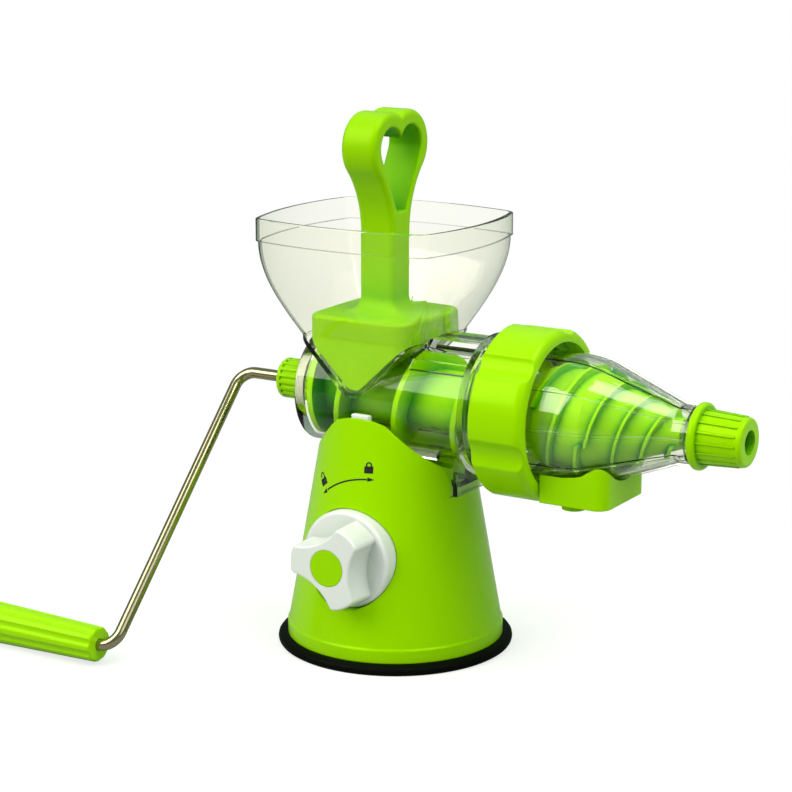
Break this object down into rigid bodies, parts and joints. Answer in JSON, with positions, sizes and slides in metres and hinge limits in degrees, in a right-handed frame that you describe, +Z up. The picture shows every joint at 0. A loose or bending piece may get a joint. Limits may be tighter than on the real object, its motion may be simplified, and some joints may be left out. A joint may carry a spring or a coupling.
{
  "type": "hand-crank screw juicer",
  "caption": "Hand-crank screw juicer on a suction foot: clear hopper, barrel and nozzle, green base, screw, pusher and lock ring, bent steel crank.",
  "frame": {"origin": "middle of the rubber foot's underside, on the surface it stands on", "axes": "+X along the barrel towards the nozzle and the pulp outlet, +Z up, -Y towards the suction knob"},
  "size_m": [0.3689, 0.1866, 0.275],
  "materials": {
    "lime_plastic": "smooth moulded, glossy",
    "clear_plastic": "clear moulded, polished",
    "white_plastic": "smooth moulded, satin",
    "black_rubber": "matte moulded",
    "plated_steel": "bright plated",
    "spring_steel": "drawn wire",
    "silicone": "translucent matte",
    "natural_nylon": "moulded, matte"
  },
  "bodies": {
    "base": {"base_housing": "lime_plastic", "base_plate": "natural_nylon", "plate_screws": "plated_steel", "suction_cup": "black_rubber", "cup_spring": "spring_steel", "button_spring": "spring_steel"},
    "stem": {"suction_stem": "natural_nylon", "cup_plate": "plated_steel"},
    "knob": {"cam_shaft": "natural_nylon", "lock_knob": "white_plastic", "knob_screw": "plated_steel", "knob_cap": "lime_plastic"},
    "button": {"release_button": "white_plastic"},
    "head": {"feed_housing": "clear_plastic", "shaft_seal": "silicone", "nozzle_seal": "silicone", "nozzle": "clear_plastic", "strainer": "lime_plastic"},
    "crank": {"auger": "lime_plastic", "crank_hub": "lime_plastic", "crank_rod": "plated_steel", "grip_retainer": "spring_steel"},
    "grip": {"crank_grip": "lime_plastic", "grip_end_cap": "lime_plastic"},
    "ring": {"lock_ring": "lime_plastic"},
    "cap": {"outlet_cap": "lime_plastic"},
    "tray": {"juice_tray": "lime_plastic"},
    "pusher": {"pusher": "lime_plastic"}
  },
  "joints": [
    {"name": "head_slide", "type": "slide", "parent": "base", "child": "head", "axis": [1, 0, 0], "range_m": [0, 0.03]},
    {"name": "crank_turn", "type": "hinge", "parent": "head", "child": "crank", "pos_m": [0, 0, 0.1312], "axis": [1, 0, 0], "continuous": true},
    {"name": "grip_spin", "type": "hinge", "parent": "crank", "child": "grip", "pos_m": [-0.14, -0.115, 0.011], "axis": [1, 0, 0], "continuous": true},
    {"name": "knob_turn", "type": "hinge", "parent": "base", "child": "knob", "pos_m": [0, -0.04, 0.055], "axis": [0, 1, 0], "range_deg": [0, 90]},
    {"name": "stem_lift", "type": "slide", "parent": "base", "child": "stem", "axis": [0, 0, 1], "range_m": [0, 0.006], "deforming": ["suction_cup", "cup_spring"]},
    {"name": "button_press", "type": "slide", "parent": "base", "child": "button", "axis": [0, 0, -1], "range_m": [0, 0.0035], "stiffness_N_per_m": 300, "deforming": ["button_spring"]},
    {"name": "pusher_lift", "type": "slide", "parent": "head", "child": "pusher", "axis": [0, 0, 1], "range_m": [0, 0.1]},
    {"name": "ring_turn", "type": "hinge", "parent": "head", "child": "ring", "pos_m": [0, 0, 0.1312], "axis": [1, 0, 0], "range_deg": [0, 60]},
    {"name": "cap_turn", "type": "hinge", "parent": "head", "child": "cap", "pos_m": [0, 0, 0.1312], "axis": [1, 0, 0], "range_deg": [0, 270]},
    {"name": "tray_pull", "type": "slide", "parent": "head", "child": "tray", "axis": [0, 0, -1], "range_m": [0, 0.04]}
  ],
  "couplings": [
    {"joint": "knob_turn", "follows": "stem_lift", "rad_per_m": 261.79}
  ]
}
